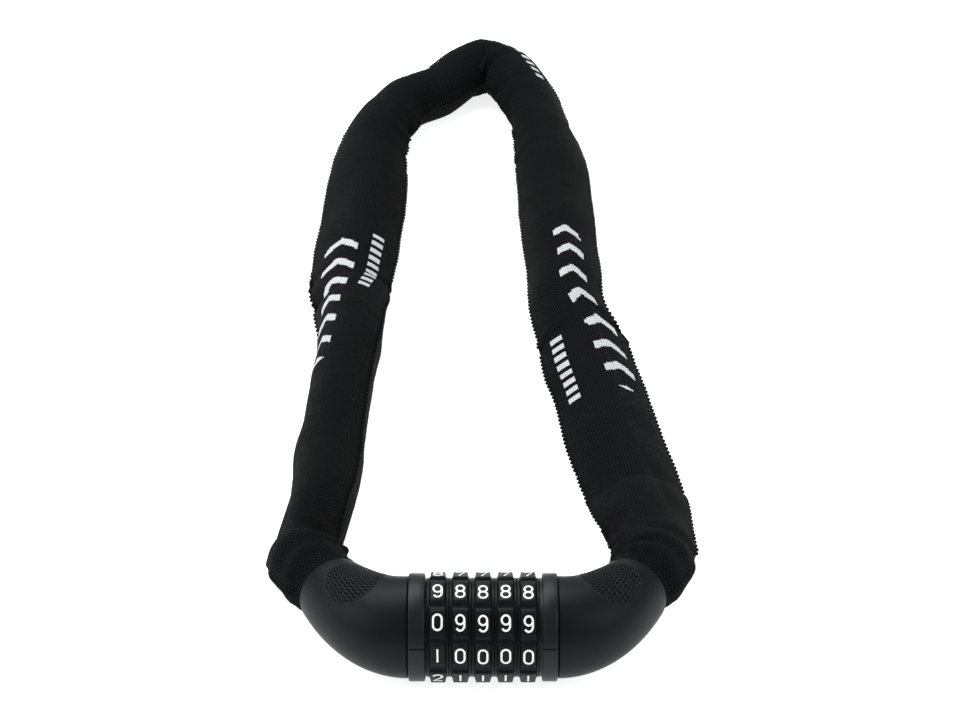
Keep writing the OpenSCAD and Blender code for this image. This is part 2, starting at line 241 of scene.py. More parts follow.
def mouth_rows(side, turn):
    """The sleeve's first rows, inside the mouth and just out of it."""
    rows = []
    rim_inside, rim_outside, outside_radius = -0.0002, 0.0022, 0.0090
    for ahead, radius in ((-tuck_depth, tuck_radius), (rim_inside, tuck_radius),
                          (rim_outside, outside_radius)):
        x, y, z = (AXLE + MOUTH + MOUTH_DIR * ahead) * (side, 1, 1)
        rows.append((x, y, z, turn, radius, radius, 1 if ahead < 0 else 0.6))
    return rows


SLEEVE_ROWS = np.array(mouth_rows(-1, 5) + LEFT_ROUTE + RIGHT_ROUTE[::-1] + mouth_rows(1, 0)[::-1])
SLEEVE_SIDES = 64
ring_step = 0.00105
slack = 0.55                  # 1: the chain bends smoothly, 0: straight from row to row


def along(rows, step):
    """Rows a step apart along the given ones: a smooth curve, pulled towards straight lines."""
    ends = np.vstack([2 * rows[0] - rows[1], rows, 2 * rows[-1] - rows[-2]])
    made = []
    for before, a, b, after in zip(ends, ends[1:], ends[2:], ends[3:]):
        count = max(1, round(np.linalg.norm(b[:2] - a[:2]) / step))
        for t in np.arange(count)[:, None] / count:
            curve = (2 * a + (b - before) * t + (2 * before - 5 * a + 4 * b - after) * t ** 2
                     + (3 * a - before - 3 * b + after) * t ** 3) / 2
            made.append(slack * curve + (1 - slack) * (a + (b - a) * t))
    return np.vstack(made + [rows[-1:]])


def section(turn, half_width, half_thickness, roundness, sides):
    """A ring of (across, up) round the middle. The folded edges are at the first point and
    halfway round: a flat lens where roundness is 0, and an oval with two ridges where it is 1."""
    a = np.arange(sides) * 2 * math.pi / sides
    turn = math.radians(turn)
    lens_x = half_width * np.cos(a)
    lens_y = half_thickness * np.sin(a) * np.abs(np.sin(a)) ** 0.75
    lens = np.stack([lens_x * math.cos(turn) - lens_y * math.sin(turn),
                     lens_x * math.sin(turn) + lens_y * math.cos(turn)], 1)
    ridge_height, ridge_spread = 0.0011, 0.22
    from_fold = np.minimum(a % math.pi, math.pi - a % math.pi)
    ridge = 1 + ridge_height / half_width * np.exp(-from_fold / ridge_spread)
    oval = np.stack([half_width * np.cos(a + turn), half_thickness * np.sin(a + turn)], 1)
    return lens * (1 - roundness) + oval * ridge[:, None] * roundness


def sleeve_grid(sides):
    """Rings of points, the middle line, the distance along it and the inward bend at each ring."""
    rows = along(SLEEVE_ROWS, ring_step)
    count = len(rows)
    step = np.arange(count)
    reach = 4
    ahead, back = rows[np.minimum(step + reach, count - 1)], rows[np.maximum(step - reach, 0)]
    heading = unit((ahead - back)[:, :2])
    heading[:reach] = (MOUTH_DIR * MIRROR)[:2]
    heading[-reach:] = (MOUTH_DIR * (-1, -1, 1))[:2]
    side = np.stack([heading[:, 1], -heading[:, 0], np.zeros(count)], 1)
    lift = np.array([0, 0, 1])
    rings, middle = [], rows[:, :3].copy()
    for k, (x, y, z, turn, w, h, roundness) in enumerate(rows):
        flat = section(turn, w, h, min(max(roundness, 0), 1), sides)
        middle[k, 2] = max(z, -flat[:, 1].min())
        rings.append(middle[k] + flat[:, :1] * side[k] + flat[:, 1:] * lift)
    gap = np.linalg.norm(np.diff(middle, axis=0), axis=1)
    distance = np.concatenate([[0], np.cumsum(gap)])
    angle = np.unwrap(np.arctan2(heading[:, 1], heading[:, 0]))
    bend = -np.gradient(angle, distance)
    bend = np.convolve(np.pad(bend, 4, "edge"), np.ones(9) / 9, "valid")
    return np.array(rings), middle, distance, bend


rings, sleeve_middle, sleeve_s, sleeve_bend = sleeve_grid(SLEEVE_SIDES)


def outward(grid):
    """Unit normals of a grid of rings."""
    along_it = np.gradient(grid, axis=0)
    round_it = np.roll(grid, -1, 1) - np.roll(grid, 1, 1)
    return unit(np.cross(along_it, round_it))


def pleats(grid, s, bend):
    """How far the cloth stands in or out at each point, in metres: gathers at the mouths,
    puckers on the inside of bends, the chain's links from within, and slow unevenness."""
    a = np.arange(grid.shape[1]) * 2 * math.pi / grid.shape[1]
    S, A = np.meshgrid(s, a, indexing="ij")
    inner = np.cos(A)
    from_mouth = np.minimum(S, s[-1] - S)
    soft_scale, fine_scale = 70, np.array([160, 420, 160])
    soft = np.array([[noise.noise(Vector(p) * soft_scale) for p in ring] for ring in grid])
    fine = np.array([[noise.noise(Vector(p * fine_scale)) for p in ring] for ring in grid])
    soft_depth, fine_depth = 0.0006, 0.00012
    out = soft_depth * soft + fine_depth * fine

    pucker_gap, pucker_depth, pucker_swell = 0.0085, 0.0042, 0.0012
    bend_to_pucker, most_inward = 0.011, 0.6
    inward = np.clip(bend[:, None] * bend_to_pucker * np.clip(inner + 0.15, 0, None),
                     0, most_inward)
    wave = np.abs(np.sin(math.pi * (S / pucker_gap + 0.35 * soft + 0.25 * np.sin(A * 2))))
    out -= pucker_depth * inward * (1 - wave) ** 1.6
    out += pucker_swell * inward * wave

    two_links, link_bulge = 0.0388, 0.0004
    link_wave = 0.5 - 0.5 * np.cos(2 * math.pi * S / two_links)
    out += link_bulge * link_wave * np.abs(np.sin(A)) ** 2

    gather_depth, gather_fade, gather_count = 0.00035, 0.006, 13
    gather = np.exp(-np.clip(from_mouth - 0.003, 0, None) / gather_fade)
    outside = np.clip((from_mouth - 0.0035) / 0.002, 0, 1)
    out += gather_depth * gather * outside * np.sin(gather_count * A + 2 * soft)

    roll_gap, roll_depth, roll_at, roll_spread = 0.0062, 0.0004, 0.012, 0.008
    roll = np.sin(2 * math.pi * (from_mouth / roll_gap + 0.12 * np.sin(A * 2 + 1) + 0.25 * soft))
    out += roll_depth * np.exp(-((from_mouth - roll_at) / roll_spread) ** 2) * roll * outside

    for where, round_at, reach, depth, width, skew in CREASES:
        off = (A - round_at + math.pi) % (2 * math.pi) - math.pi
        out -= depth * np.exp(-(off / reach) ** 2) * np.exp(
            -np.abs((S - where - skew * off) / width) ** 1.3)
    return out


# Single creases: distance along the sleeve, angle round it from the inner edge, how far round
# they reach, depth, width, and how much they slant.
CREASES = [
    (0.142, 2.6, 0.9, 0.0020, 0.0026, 0.0030), (0.153, 2.9, 0.8, 0.0012, 0.0030, -0.0020),
    (0.246, 0.1, 0.9, 0.0026, 0.0022, 0.0040), (0.259, 0.5, 0.9, 0.0022, 0.0020, -0.0040),
    (0.273, 0.3, 0.7, 0.0018, 0.0018, 0.0030), (0.284, 0.2, 0.6, 0.0026, 0.0016, -0.0030),
    (0.298, 0.4, 0.9, 0.0022, 0.0020, 0.0040), (0.312, 0.2, 0.7, 0.0022, 0.0020, -0.0030),
    (0.326, 0.4, 0.8, 0.0020, 0.0020, 0.0030), (0.345, 0.3, 1.2, 0.0034, 0.0022, -0.0050),
    (0.352, 2.7, 0.8, 0.0030, 0.0034, 0.0060), (0.470, 2.6, 0.8, 0.0016, 0.0030, 0.0040),
    (0.556, 1.2, 0.9, 0.0012, 0.0040, 0.0060), (0.571, 0.8, 0.8, 0.0014, 0.0040, 0.0050)]

chain_reach = 0.0086          # the cloth stays this far from the sleeve's middle line
lowest_cloth = 0.00015
fold_out = np.maximum(pleats(rings, sleeve_s, sleeve_bend),
                      chain_reach - np.linalg.norm(rings - sleeve_middle[:, None], axis=2))
sleeve_skin = rings + outward(rings) * fold_out[:, :, None]
sleeve_skin[:, :, 2] = np.maximum(sleeve_skin[:, :, 2], lowest_cloth)


def thread_marks(sides):
    """How far round the sleeve each point is along the cloth, from the inner folded edge."""
    half_width, half_thickness = 0.013, 0.008
    flat = section(0, half_width, half_thickness, 0, sides)
    steps = np.linalg.norm(np.diff(np.vstack([flat, flat[:1]]), axis=0), axis=1)
    return np.concatenate([[0], np.cumsum(steps)])


def grid_mesh(name, skins, across, distance):
    """A closed hollow tube from an outer and an inner grid of rings, with its UV map in metres."""
    outer, inner = skins
    count, sides, _ = outer.shape
    points = np.vstack([outer.reshape(-1, 3), inner.reshape(-1, 3)])
    k, i = np.meshgrid(np.arange(count - 1), np.arange(sides), indexing="ij")
    j = (i + 1) % sides
    a, b, c, d = k * sides + i, k * sides + j, (k + 1) * sides + j, (k + 1) * sides + i
    start = count * sides
    faces = [np.stack([a, d, c, b], -1).reshape(-1, 4),
             start + np.stack([a, b, c, d], -1).reshape(-1, 4)]
    i = np.arange(sides)
    j = (i + 1) % sides
    last = (count - 1) * sides
    faces += [np.stack([i, j, start + j, start + i], -1),
              np.stack([last + i, start + last + i, start + last + j, last + j], -1)]
    faces = np.vstack(faces)
    mesh = bpy.data.meshes.new(name)
    mesh.from_pydata(points.tolist(), [], faces.tolist())
    mesh.polygons.foreach_set("use_smooth", [True] * len(faces))
    u = np.tile(np.tile(across[:-1], count), 2)
    v = np.tile(np.repeat(distance, sides), 2)
    corner = faces.ravel()
    uv = np.stack([u[corner], v[corner]], 1)
    low = uv[:, 0].reshape(-1, 4)
    wrap = (low.max(1) - low.min(1)) > across[-1] / 2
    low[wrap] = np.where(low[wrap] < across[-1] / 2, low[wrap] + across[-1], low[wrap])
    uv[:, 0] = low.ravel()
    layer = mesh.uv_layers.new(name="cloth")
    layer.data.foreach_set("uv", uv.ravel())
    mesh.update()
    return link_to_scene(name, mesh)


sleeve_wall = 0.0008
sleeve = grid_mesh("sleeve", (sleeve_skin, sleeve_skin - outward(sleeve_skin) * sleeve_wall),
                   thread_marks(SLEEVE_SIDES), sleeve_s)

woven = Finish("woven_nylon", roughness=0.86, specular_ior_level=0.05)
THREAD_PITCH = 0.0008
RIB_PITCH = 0.0009
cloth_uv = woven.node("ShaderNodeUVMap", uv_map="cloth")
split = woven.tree.nodes.new("ShaderNodeSeparateXYZ")
woven.tree.links.new(cloth_uv.socket, split.inputs[0])
u, v = Wire(woven.tree, split.outputs[0]), Wire(woven.tree, split.outputs[1])
cell_u = (u / THREAD_PITCH).maths("FLOOR")
cell_v = (v / (RIB_PITCH / 2)).maths("FLOOR")
woven_u, woven_v = (cell_u + 0.5) * THREAD_PITCH, (cell_v + 0.5) * (RIB_PITCH / 2)


def between(wire, low, high):
    return (wire > low) * (wire < high)


def chevron_band(start, end, middle_u, half_height, pitch, stroke, lean):
    """White weft woven in as a row of chevrons."""
    across = abs(woven_u - middle_u)
    beat = ((woven_v - start) / pitch + across * (lean / pitch)).maths("FRACT")
    inside = between(woven_v, start, end) * (across < half_height)
    return inside * (beat < stroke / pitch)


def dash_band(start, end, middle_u, half_height, pitch, stroke):
    """White weft woven in as a row of short bars."""
    beat = ((woven_v - start) / pitch).maths("FRACT")
    inside = between(woven_v, start, end) * (abs(woven_u - middle_u) < half_height)
    return inside * (beat < stroke / pitch)


# Start and end along the sleeve, middle and half height round it, pitch, stroke, and lean.
white = chevron_band(0.098, 0.172, 0.0233 - woven_v * 0.022, 0.0055, 0.0112, 0.0034, 0.7)
for mark in (
    dash_band(0.139, 0.173, 0.0084, 0.0022, 0.0040, 0.0022),
    chevron_band(0.268, 0.285, 0.0238, 0.0030, 0.0090, 0.0036, 0.7),
    dash_band(0.302, 0.331, 0.0230, 0.0020, 0.0044, 0.0022),
    chevron_band(0.4255, 0.506, woven_v * 0.045, 0.0050, 0.0112, 0.0034, -0.7),
    dash_band(0.477, 0.509, 0.0068, 0.0019, 0.0040, 0.0022),
):
    white = white.maths("MAXIMUM", mark)

columns = (u / THREAD_PITCH * 0.5).maths("FRACT") > 0.5
rib_wave = ((v / RIB_PITCH + columns * 0.5) * (2 * math.pi)).maths("SINE")
thread_wave = (u * (2 * math.pi / THREAD_PITCH)).maths("COSINE")
weave = rib_wave * 0.5 - thread_wave * 0.25
mottle = woven.cloud(woven.place(), 55.0)
nap = woven.cloud(woven.place(), 1800.0, 2.0)
black = woven.mix(mottle, (0.0018, 0.0020, 0.0024), (0.0036, 0.0040, 0.0046))
# Painted shade and painted highlight: the weave paints the gaps between threads nearly black and
# the thread tops a touch lighter, following the weave's bump.
gap_shade = woven.mix(0.15, (0, 0, 0), black)
thread_highlight = woven.mix(0.006, black, (1, 1, 1))
black = woven.mix(weave * 0.66 + 0.5, gap_shade, thread_highlight)
pale = woven.mix(nap, (0.42, 0.44, 0.43), (0.66, 0.68, 0.67))
woven.set({"Base Color": woven.mix(white, black, pale),
           "Normal": woven.bump(weave + nap * 0.3, 0.00026, 1.0)})
sleeve.data.materials.append(woven.material)


def geometry_tree(name, inputs):
    """A Geometry Nodes tree with named number inputs, as (tree, its inputs' wires by name)."""
    group = bpy.data.node_groups.new(name, "GeometryNodeTree")
    group.interface.new_socket("Geometry", in_out="INPUT", socket_type="NodeSocketGeometry")
    for label, kind in inputs.items():
        group.interface.new_socket(label, in_out="INPUT", socket_type=kind)
    group.interface.new_socket("Geometry", in_out="OUTPUT", socket_type="NodeSocketGeometry")
    entry = group.nodes.new("NodeGroupInput")
    return Tree(group), {s.name: Wire(group, s) for s in entry.outputs if s.name}


def finish_geometry(tree, instances, material):
    """Realizes what a tree has made, gives it its material, and sends it out."""
    real = tree.node("GeometryNodeRealizeInstances", {"Geometry": instances})
    done = tree.node("GeometryNodeSetMaterial", {"Geometry": real, "Material": material})
    leave = tree.tree.nodes.new("NodeGroupOutput")
    tree.tree.links.new(done.socket, leave.inputs["Geometry"])


def grow(name, base, tree, values):
    """The plain mesh that a Geometry Nodes tree makes of a base object, which is then removed."""
    modifier = base.modifiers.new("grow", "NODES")
    modifier.node_group = tree.tree
    for item in tree.tree.interface.items_tree:
        if item.in_out == "INPUT" and item.name in values:
            modifier[item.identifier] = values[item.name]
    base.update_tag()
    bpy.context.view_layer.update()
    depsgraph = bpy.context.evaluated_depsgraph_get()
    mesh = bpy.data.meshes.new_from_object(base.evaluated_get(depsgraph))
    mesh.name = name
    bpy.data.objects.remove(base)
    return link_to_scene(name, mesh)


def line_object(name, points_lists):
    """A mesh of bare edges through lists of points."""
    points, edges = [], []
    for points_list in points_lists:
        start, count = len(points), len(points_list)
        points += [tuple(map(float, p)) for p in points_list]
        edges += [(start + k, start + k + 1) for k in range(count - 1)]
    mesh = bpy.data.meshes.new(name)
    mesh.from_pydata(points, edges, [])
    return link_to_scene(name, mesh)


# The weft's turns along both folded edges.
tooth_tree, tooth_in = geometry_tree("weft_turns", {
    "Pitch": "NodeSocketFloat", "Length": "NodeSocketFloat", "Width": "NodeSocketFloat"})
edge_curve = tooth_tree.node("GeometryNodeMeshToCurve", {"Mesh": tooth_in["Geometry"]})
edge_points = tooth_tree.tree.nodes.new("GeometryNodeCurveToPoints")
edge_points.mode = "LENGTH"
tooth_tree.tree.links.new(edge_curve.socket, edge_points.inputs["Curve"])
tooth_tree.tree.links.new(tooth_in["Pitch"].socket, edge_points.inputs["Length"])
turn_ball = tooth_tree.node("GeometryNodeMeshUVSphere", {"Segments": 8, "Rings": 5, "Radius": 0.5})
tooth_size = tooth_tree.node("ShaderNodeCombineXYZ", {
    "X": tooth_in["Width"], "Y": tooth_in["Width"], "Z": tooth_in["Length"]})
teeth_placed = tooth_tree.node("GeometryNodeInstanceOnPoints", {
    "Points": Wire(tooth_tree.tree, edge_points.outputs["Points"]), "Instance": turn_ball,
    "Rotation": Wire(tooth_tree.tree, edge_points.outputs["Rotation"]), "Scale": tooth_size})
teeth_smooth = tooth_tree.node("GeometryNodeSetShadeSmooth", {"Geometry": teeth_placed})
yarn = Finish("edge_yarn", base_color=(0.003, 0.003, 0.003), roughness=0.85,
              specular_ior_level=0.08)
yarn.set({"Normal": yarn.bump(yarn.cloud(yarn.place(), 2500.0), 0.0001)})
finish_geometry(tooth_tree, teeth_smooth, yarn.material)
edge_proud = 0.00005
clear = slice(20, -18)        # the rings that aren't near a mouth
edges = [(sleeve_skin[:, i] + outward(sleeve_skin)[:, i] * edge_proud)[clear]
         for i in (0, SLEEVE_SIDES // 2)]
weft_turns = grow("weft_turns", line_object("folded_edges", edges), tooth_tree,
                  {"Pitch": 0.0018, "Length": 0.00115, "Width": 0.00085})


def bend_with_bolt(piece):
    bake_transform(piece)


# ---- Chain ----
# Welded links of 3.5 mm wire, each a quarter turn from the last, hooked on a pin in each end
# block and running inside the sleeve all the way round.

wire_radius, link_outer, link_inner, link_play = 0.00175, 0.012, 0.020, 0.0006
pin_x, pin_radius = 0.0273, 0.002
link_step = link_inner - link_play
steel = Finish("chain_steel", base_color=(0.58, 0.59, 0.6), metallic=1.0, roughness=0.34)
grain = steel.cloud(steel.place(), 900.0)
steel.set({"Roughness": grain * 0.25 + 0.24, "Normal": steel.bump(grain, 0.00008)})

pins = [np.array([side * pin_x, AXLE[1], AXLE[2]]) for side in (-1, 1)]
inner_side = unit((rings[:, 0] - sleeve_middle) * (1, 1, 0))
# A straight link's middle would lie inside a bend, so the chain keeps to its outside.
cut_corner = link_inner ** 2 / 10 * sleeve_bend[:, None]
chain_way = np.vstack([pins[0], sleeve_middle - inner_side * cut_corner, pins[1]])
chain_way[0] -= unit(chain_way[1] - chain_way[0]) * pin_radius
way_s = np.concatenate([[0], np.cumsum(np.linalg.norm(np.diff(chain_way, axis=0), axis=1))])


def on_way(s):
    return np.array([np.interp(s, way_s, chain_way[:, axis]) for axis in range(3)])


settling_tries = 6
hooks = [0.0]
while hooks[-1] + link_step < way_s[-1]:
    following = hooks[-1] + link_step
    for _ in range(settling_tries):
        following += link_step - np.linalg.norm(on_way(following) - on_way(hooks[-1]))
    hooks.append(following)


def link_curve():
    """One link's middle line, a stadium in its own X and Y."""
    arm = link_outer / 2 - wire_radius
    straight = link_inner / 2 - (link_outer / 2 - 2 * wire_radius)
    bends = [(straight * side, turn) for side, turn in ((1, -90), (-1, 90))]
    return [(x + arm * math.cos(math.radians(turn + a)), arm * math.sin(math.radians(turn + a)), 0)
            for x, turn in bends for a in range(0, 181, 18)]


link_tree, link_in = geometry_tree("chain_links", {"Wire radius": "NodeSocketFloat"})
link_line = link_tree.node("GeometryNodeMeshToCurve", {"Mesh": link_in["Geometry"]})
round_wire = link_tree.node("GeometryNodeCurvePrimitiveCircle",
                            {"Resolution": 10, "Radius": link_in["Wire radius"]})
link_tube = link_tree.node("GeometryNodeCurveToMesh",
                           {"Curve": link_line, "Profile Curve": round_wire})
link_round = link_tree.node("GeometryNodeSetShadeSmooth", {"Geometry": link_tube})
finish_geometry(link_tree, link_round, steel.material)

link_points, link_edges = [], []
for number, (near, far) in enumerate(zip(hooks, hooks[1:])):
    a, b = on_way(near), on_way(far)
    forward = unit(b - a)
    flat_side = unit(np.cross(forward, (0, 0, 1)))
    side = np.cross(flat_side, forward) if number % 2 else flat_side
    start = len(link_points)
    ring = [tuple((a + b) / 2 + forward * x + side * y) for x, y, _ in link_curve()]
    link_points += ring
    link_edges += [(start + k, start + (k + 1) % len(ring)) for k in range(len(ring))]
link_lines = bpy.data.meshes.new("link_lines")
link_lines.from_pydata(link_points, link_edges, [])
chain = grow("chain", link_to_scene("link_lines", link_lines), link_tree,
             {"Wire radius": wire_radius})
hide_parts("chain_left", "chain_right")
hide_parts("sleeve_left", "sleeve_right")
for piece in (sleeve, weft_turns, chain):
    bend_with_bolt(piece)
[tuple(p) for p in sleeve_middle[::6]] + [tuple(sleeve_middle[-1])]


# ---- Grips ----
# Two mirrored shells of soft-touch black rubber on hard plastic, curved to follow the loop. The
# top of each has moulded wavy ribs for the fingers, and a thin lip rings the mouth.

grip_radius, mouth_radius, grip_wall = 0.01275, 0.009, 0.0016
GRIP_ROUND, GRIP_ALONG, GRIP_INSIDE = 288, 180, 36


def grip_point(t):
    return (1 - t) ** 2 * np.array([GRIP_START, 0, 0]) + 2 * t * (1 - t) * KNEE + t ** 2 * MOUTH


def grip_direction(t):
    return unit((1 - t) * (KNEE - (GRIP_START, 0, 0)) + t * (MOUTH - KNEE))


def grip_size(t):
    return grip_radius + (mouth_radius - grip_radius) * t ** 1.8


def finger_ribs(t, angle):
    """Height of the moulded ribs at t along the grip and an angle round it, 90 being the top
    and 0 the inner side."""
    patch_t, patch_angle, reach_t, reach_angle = 0.635, 87.0, 0.27, 50.0
    rib_pitch, slant, groove_width, groove_depth, rise = 5.6, 14, 0.16, 0.00040, 0.00008
    grip_length, wave_length, wave_height = 0.030, 0.0015, 0.22
    edge_steepness = 5
    off_t, off_angle = (t - patch_t) / reach_t, (angle - patch_angle) / reach_angle
    edge = np.clip((1 - off_t ** 2 - off_angle ** 2) * edge_steepness, 0, 1)
    wave = wave_height * np.sin(t * grip_length * 2 * math.pi / wave_length)
    beat = ((angle + off_t * slant) / rib_pitch + wave) % 1.0
    return edge * (rise - groove_depth * np.exp(-((beat - 0.5) / groove_width) ** 2))


def grip_angles():
    """Angles round a grip, closer together where the ribs are."""
    even = np.linspace(0, 360, 721)
    density = 1 + 2.6 * np.exp(-((even - 80) / 56) ** 4)
    share = np.concatenate([[0], np.cumsum((density[1:] + density[:-1]) / 2)])
    return np.interp(np.arange(GRIP_ROUND) / GRIP_ROUND * share[-1], share, even)


def band_faces(start, rings, sides):
    """The quads between neighbouring rings of points, the first point being number start."""
    return [(start + k * sides + i, start + k * sides + (i + 1) % sides,
             start + (k + 1) * sides + (i + 1) % sides, start + (k + 1) * sides + i)
            for k in range(rings - 1) for i in range(sides)]


def grip_mesh(name, side):
    round_it = np.radians(grip_angles())
    share = GRIP_ROUND // GRIP_INSIDE
    degrees = (np.degrees(round_it) + 180) % 360 - 180
    lip_start, lip_blend, lip_depth = 0.955, 0.006, 0.00025
    ease_reach, round_start, round_reach, edge_round = 0.012, 0.985, 0.015, 0.0004
    block_hole, hole_end, mouth_wall = 0.0084, 0.08, 0.0014

    def ring(t, radius, a):
        direction = grip_direction(t)
        across = np.cross((0, 0, 1), direction)
        radius = np.broadcast_to(radius, a.shape)
        made = AXLE + grip_point(t) + (np.cos(a) * radius)[:, None] * across \
            + (np.sin(a) * radius)[:, None] * np.array([0, 0, 1])
        return made * (side, 1, 1)

    outer = []
    for t in np.linspace(0, 1, GRIP_ALONG):
        radius = grip_size(t) + finger_ribs(t, degrees)
        radius = radius - lip_depth * np.clip((t - lip_start) / lip_blend, 0, 1)
        radius = radius - edge_round * np.clip(1 - t / ease_reach, 0, 1) ** 2
        radius = radius - edge_round * np.clip((t - round_start) / round_reach, 0, 1) ** 2
        outer.append(ring(t, radius, round_it))
    inner = [ring(1, mouth_radius - mouth_wall, round_it[::share])]
    inner += [ring(t, grip_size(t) - grip_wall, round_it[::share])
              for t in np.linspace(0.97, hole_end, 14)]
    inner += [ring(t, block_hole, round_it[::share]) for t in (hole_end - 0.01, 0)]
    points = np.vstack(outer + inner)
    start = GRIP_ALONG * GRIP_ROUND
    faces = band_faces(0, GRIP_ALONG, GRIP_ROUND) + band_faces(start, len(inner), GRIP_INSIDE)
    for rim, inside, flip in (((GRIP_ALONG - 1) * GRIP_ROUND, start, False),
                              (0, start + (len(inner) - 1) * GRIP_INSIDE, True)):
        for i in range(GRIP_INSIDE):
            j = (i + 1) % GRIP_INSIDE
            arc = [rim + (i * share + n) % GRIP_ROUND for n in range(share + 1)]
            face = arc + [inside + j, inside + i]
            faces.append(tuple(reversed(face)) if flip else tuple(face))
    mesh = bpy.data.meshes.new(name)
    mesh.from_pydata(points.tolist(), [], [f if side > 0 else tuple(reversed(f)) for f in faces])
    mesh.shade_smooth()
    mesh.set_sharp_from_angle(angle=math.radians(50))
    return link_to_scene(name, mesh)


rubber = Finish("soft_touch_black", specular_ior_level=0.10)
haze = rubber.cloud(rubber.place(), 130.0)
pores = rubber.cloud(rubber.place(), 5200.0, 2.0)
rubber.set({"Base Color": rubber.mix(haze, (0.0028, 0.0040, 0.0046), (0.0044, 0.0060, 0.0070)),
            "Roughness": haze * 0.12 + 0.38, "Normal": rubber.bump(pores, 0.00004, 0.5)})
for name, side in (("barrel", -1), ("bolt", 1)):
    shell = grip_mesh(f"{name}_grip_shell", side)
    shell.data.materials.append(rubber.material)
    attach(shell, f"{name}_side")
    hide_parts(f"{name}_grip")


# ---- Collars ----
# A hard black ring beside the dials on each side, turned to a fine finish, with a small groove at
# the grip and an index line below the row where the digits are read.

collar_radius, collar_bore, stack_half = 0.0135, 0.00805, 0.014


def turned(name, profile, angles, depth):
    """A closed ring about the axle from a closed profile of (x, radius); depth(x, radius, angle)
    is how much is taken off, with angles up from the front."""
    profile, angles = np.array(profile), np.array(angles)
    count = len(profile)
    rows = []
    for angle in angles:
        x, radius = profile[:, 0], profile[:, 1]
        radius = radius - depth(x, radius, angle)
        rows.append(np.stack([x, AXLE[1] - radius * math.cos(angle),
                              AXLE[2] + radius * math.sin(angle)], 1))
    faces = [(k * count + i, k * count + (i + 1) % count,
              (k + 1) % len(angles) * count + (i + 1) % count, (k + 1) % len(angles) * count + i)
             for k in range(len(angles)) for i in range(count)]
    mesh = bpy.data.meshes.new(name)
    mesh.from_pydata(np.vstack(rows).tolist(), [], faces)
    mesh.shade_smooth()
    mesh.set_sharp_from_angle(angle=math.radians(38))
    return link_to_scene(name, mesh)


def face_outwards(piece):
    """Turns a closed piece's faces outwards."""
    work = bmesh.new()
    work.from_mesh(piece.data)
    bmesh.ops.recalc_face_normals(work, faces=work.faces)
    work.to_mesh(piece.data)
    work.free()


def collar_mesh(name, side, face):
    back = GRIP_START
    rib, rib_inner, rib_outer = stack_half + 0.00005, 0.0107, 0.0122
    profile = [(face, collar_bore), (face, rib_inner), (rib, rib_inner), (rib, rib_outer),
               (face, rib_outer + 0.0002),
               (face, collar_radius - 0.0004), (face + 0.00012, collar_radius - 0.00012),
               (face + 0.0004, collar_radius), (back - 0.0005, collar_radius),
               (back - 0.0002, collar_radius - 0.0001), (back - 0.00005, collar_radius - 0.0004),
               (back, grip_radius - 0.0009), (back, collar_bore)]
    line_angle, line_half, line_depth = math.radians(17), 0.012, 0.0003
    near_line = line_angle + np.linspace(-2.4, 2.4, 17) * line_half
    angles = sorted(set(np.round(np.concatenate([np.linspace(0, 2 * math.pi, 160, endpoint=False),
                                                 near_line]), 5)))

    def depth(x, radius, angle):
        close = np.exp(-((angle - line_angle) / line_half) ** 4)
        return np.where(radius > grip_radius - 0.0003, line_depth * close, 0)

    made = turned(name, [(x * side, r) for x, r in profile], angles, depth)
    face_outwards(made)
    return made


hard = Finish("hard_black", specular_ior_level=0.18)
streaks = hard.cloud(hard.stretched((2600.0, 60.0, 60.0)), 1.0, 3.0)
hard.set({"Base Color": hard.mix(streaks, (0.0038, 0.0050, 0.0056), (0.0060, 0.0075, 0.0084)),
          "Roughness": streaks * 0.1 + 0.34, "Normal": hard.bump(streaks, 0.00003, 0.6)})
for name, side, face in (("barrel", -1, stack_half + 0.0004), ("bolt", 1, stack_half + 0.0007)):
    collar = collar_mesh(f"{name}_collar_ring", side, face)
    collar.data.materials.append(hard.material)
    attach(collar, f"{name}_side")
    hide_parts(f"{name}_collar")


# ---- Dials ----
# Five moulded rings with ten nearly flat digit pads each, a scooped notch between pads, and a
# lower shoulder on each side. The white digits stand a little proud of the pads. A code ring
# inside keys into each dial.

dial_pitch, dial_width, pad_width, DIGITS = 0.0056, 0.00557, 0.0039, 10
pad_height, neck_radius, code_ring_radius = 0.01360, 0.01235, 0.0095
notch_radius, notch_centre = 0.0013, 0.01420
pad_flatness = 0.75           # 1: a pad is quite flat, 0: it is round about the axle
read_angle = math.radians(45)
read_digits = (0, 9, 9, 9, 9)
dial_play = np.radians((0.9, 0.4, -0.5, 0.1, -0.9))


def off_pad(angle):
    """Angle from the nearest pad's middle."""
    pitch = 2 * math.pi / DIGITS
    return (angle - read_angle + pitch / 2) % pitch - pitch / 2


